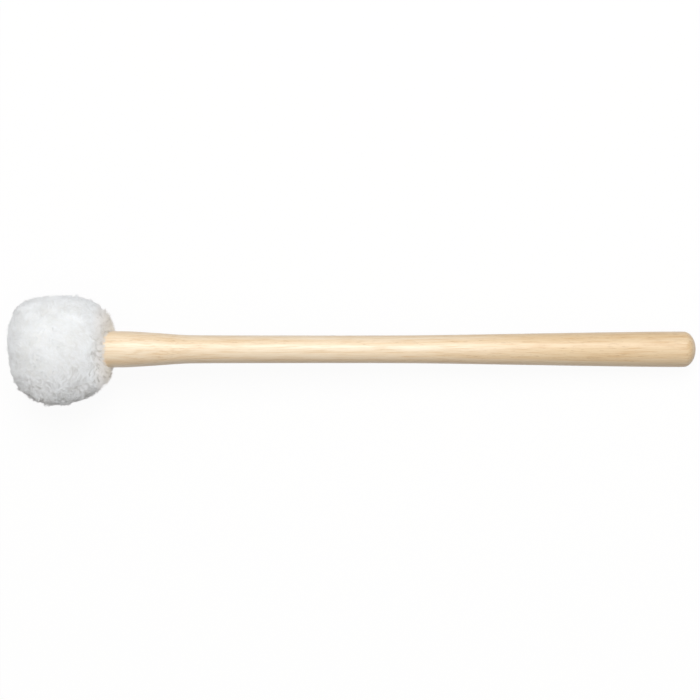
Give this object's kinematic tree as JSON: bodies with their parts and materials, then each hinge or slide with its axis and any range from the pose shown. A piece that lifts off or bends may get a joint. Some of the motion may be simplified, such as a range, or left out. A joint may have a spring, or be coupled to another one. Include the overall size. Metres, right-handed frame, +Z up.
{
  "type": "bass drum mallet",
  "caption": "Soft-headed marching bass drum mallet: a turned hickory shaft with a swelling grip, and a felt-wound hardwood head in a puffy white fleece cover tied at its neck.",
  "frame": {"origin": "middle of the bottom of the bounding box, on the surface that the mallet lies on", "axes": "+X from the head towards the butt, +Z up from the surface, +Y across the shaft; the shaft slopes down towards the butt by about 3.3 degrees because head and butt both touch the surface"},
  "size_m": [0.3612, 0.0578, 0.0572],
  "materials": {
    "hickory": "turned hickory under satin clear lacquer",
    "maple": "turned bare maple",
    "zinc_steel": "bright zinc plate",
    "wool_felt": "hard pressed wool felt",
    "knit_backing": "knitted polyester backing",
    "cotton_thread": "waxed cotton thread",
    "white_fleece": "long soft white fleece pile"
  },
  "bodies": {
    "root": {"shaft": "hickory", "core_bush": "maple", "head_washer": "zinc_steel", "head_screw": "zinc_steel", "felt_wrap": "wool_felt", "front_felt_pad": "wool_felt", "rear_felt_ring": "wool_felt", "cover_backing": "knit_backing", "gather_thread": "cotton_thread", "fleece_pile": "white_fleece"}
  },
  "joints": []
}
